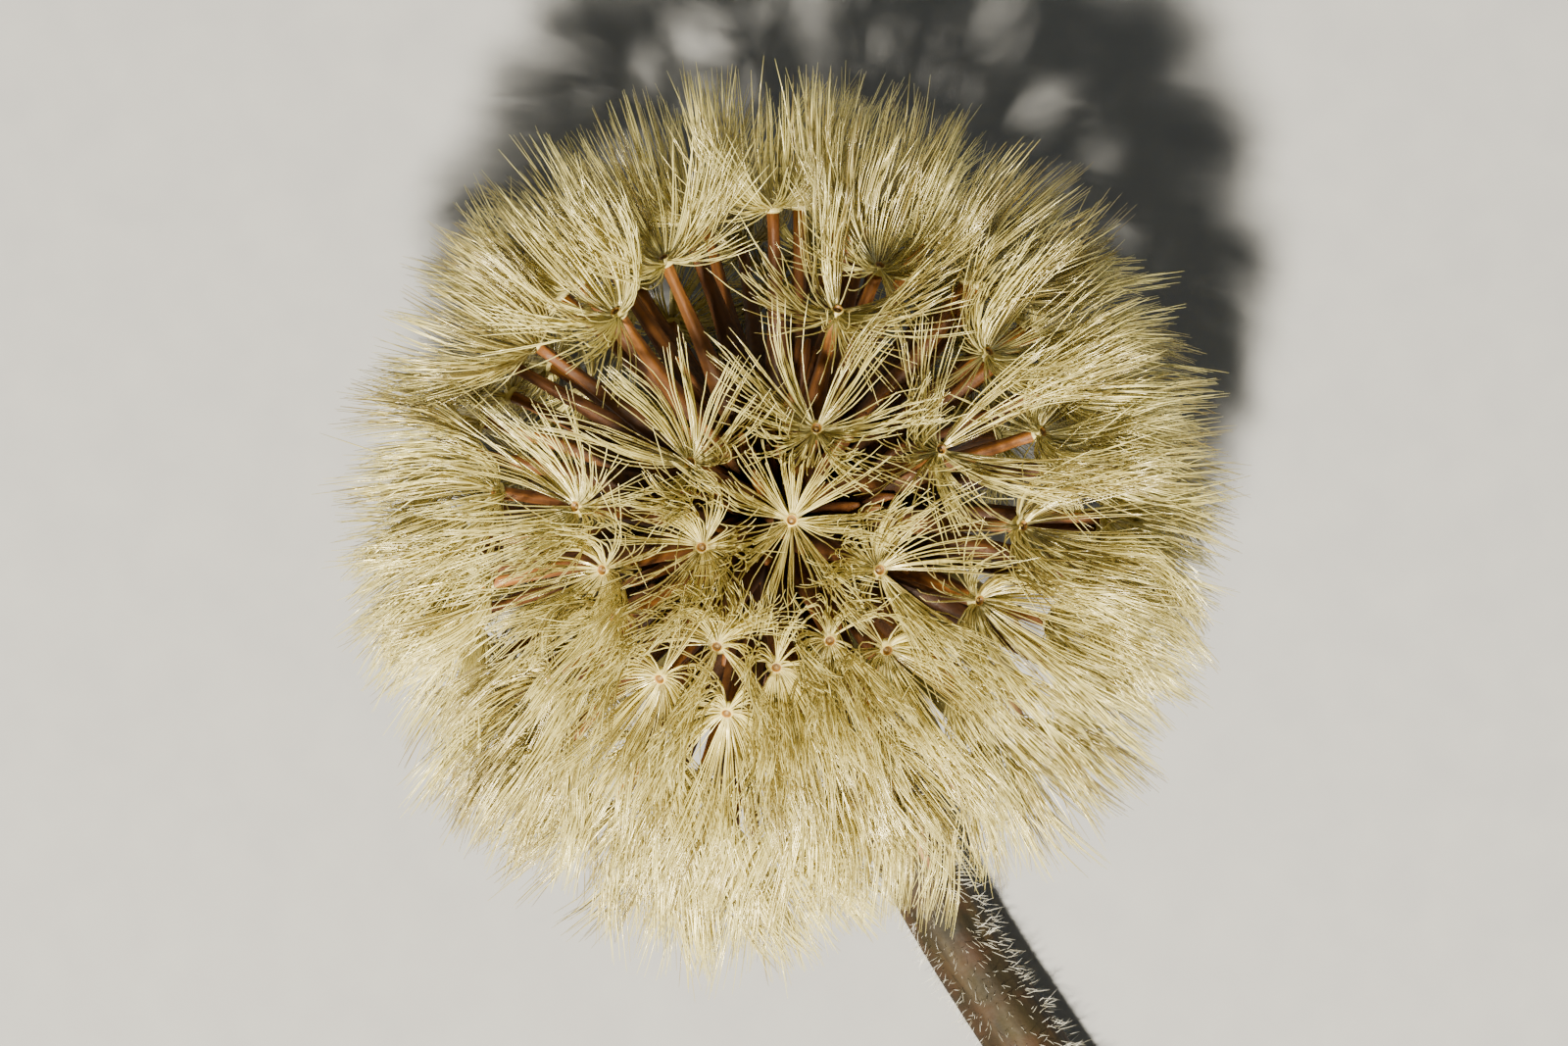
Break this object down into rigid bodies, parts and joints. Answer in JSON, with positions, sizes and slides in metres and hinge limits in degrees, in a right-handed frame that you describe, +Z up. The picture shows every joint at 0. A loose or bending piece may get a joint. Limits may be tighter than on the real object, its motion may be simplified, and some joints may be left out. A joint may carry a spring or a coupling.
{
  "type": "gerbera seed head",
  "caption": "Cut gerbera head gone to seed: a globe of pale bristle tufts on brown achenes, with narrow bracts and a bent stalk, lying on its side.",
  "frame": {"origin": "middle of the whole part in plan, on the surface that it lies on", "axes": "+X along the stalk towards its cut end, +Z up from the surface, +Y completes the right-handed frame"},
  "size_m": [0.1266, 0.0534, 0.0475],
  "materials": {
    "stalk": "dry hairy olive-brown stalk, matt",
    "bracts": "papery yellow-green bracts with brown tips, matt",
    "achenes": "ribbed orange-brown fruits, satin",
    "pappus": "silky cream bristles"
  },
  "bodies": {
    "root": {"stalk": "stalk", "bracts": "bracts", "achenes_on_receptacle": "achenes", "pappus_tufts": "pappus"}
  },
  "joints": []
}
